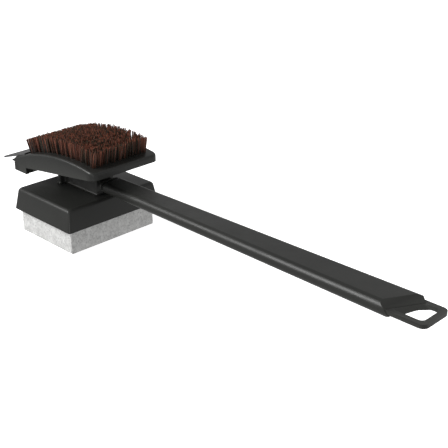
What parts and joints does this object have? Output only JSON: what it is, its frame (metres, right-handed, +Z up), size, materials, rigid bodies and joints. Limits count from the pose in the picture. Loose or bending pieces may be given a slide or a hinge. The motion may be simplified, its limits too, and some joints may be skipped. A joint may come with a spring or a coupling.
{
  "type": "grill cleaning brush",
  "caption": "Grill cleaning brush with an arched bristle head and scraper above, an abrasive stone block in a tray below, and a long tapering handle with a hanging loop.",
  "frame": {"origin": "centre of the stone block's underside, where the tool stands", "axes": "+X from the head along the handle to the hanging loop, +Z up from the stone to the bristles, +Y across"},
  "size_m": [0.4598, 0.105, 0.0966],
  "materials": {
    "charcoal_plastic": "moulded, fine satin texture",
    "cleaning_stone": "porous light grey abrasive with darker specks",
    "bristle": "stiff reddish-brown strands mixed with near-black ones",
    "dark_blade": "dark satin coating, brighter at the worn front edge",
    "fastener_steel": "zinc-plated, lightly brushed"
  },
  "bodies": {
    "stone": {"stone_block": "cleaning_stone"},
    "tool": {"handle_body": "charcoal_plastic", "handle_cover": "charcoal_plastic", "handle_cover_screw_1": "fastener_steel", "handle_cover_screw_2": "fastener_steel", "handle_cover_screw_3": "fastener_steel", "hang_loop": "charcoal_plastic", "holder_screw_1": "fastener_steel", "holder_screw_2": "fastener_steel", "holder_screw_3": "fastener_steel", "holder_screw_4": "fastener_steel", "loop_screw": "fastener_steel", "neck": "charcoal_plastic", "neck_collar": "charcoal_plastic", "stone_holder": "charcoal_plastic", "tang_screw_1": "fastener_steel", "tang_screw_2": "fastener_steel"},
    "brush_head": {"anchor_wire_01": "fastener_steel", "anchor_wire_02": "fastener_steel", "anchor_wire_03": "fastener_steel", "anchor_wire_04": "fastener_steel", "anchor_wire_05": "fastener_steel", "anchor_wire_06": "fastener_steel", "anchor_wire_07": "fastener_steel", "anchor_wire_08": "fastener_steel", "anchor_wire_09": "fastener_steel", "anchor_wire_10": "fastener_steel", "anchor_wire_11": "fastener_steel", "anchor_wire_12": "fastener_steel", "anchor_wire_13": "fastener_steel", "anchor_wire_14": "fastener_steel", "blade_rivet_1": "fastener_steel", "blade_rivet_2": "fastener_steel", "blade_rivet_3": "fastener_steel", "bristle_row_01": "bristle", "bristle_row_02": "bristle", "bristle_row_03": "bristle", "bristle_row_04": "bristle", "bristle_row_05": "bristle", "bristle_row_06": "bristle", "bristle_row_07": "bristle", "bristle_row_08": "bristle", "bristle_row_09": "bristle", "bristle_row_10": "bristle", "bristle_row_11": "bristle", "bristle_row_12": "bristle", "bristle_row_13": "bristle", "bristle_row_14": "bristle", "head_base": "charcoal_plastic", "head_base_screw_1": "fastener_steel", "head_base_screw_2": "fastener_steel", "head_base_screw_3": "fastener_steel", "head_base_screw_4": "fastener_steel", "head_shell": "charcoal_plastic", "scraper_backing": "charcoal_plastic", "scraper_blade": "dark_blade"}
  },
  "joints": [
    {"name": "stone_release", "type": "slide", "parent": "stone", "child": "tool", "axis": [0, 0, 1], "range_m": [0, 0.03]},
    {"name": "head_release", "type": "slide", "parent": "tool", "child": "brush_head", "axis": [0, 0, 1], "range_m": [0, 0.03]}
  ]
}
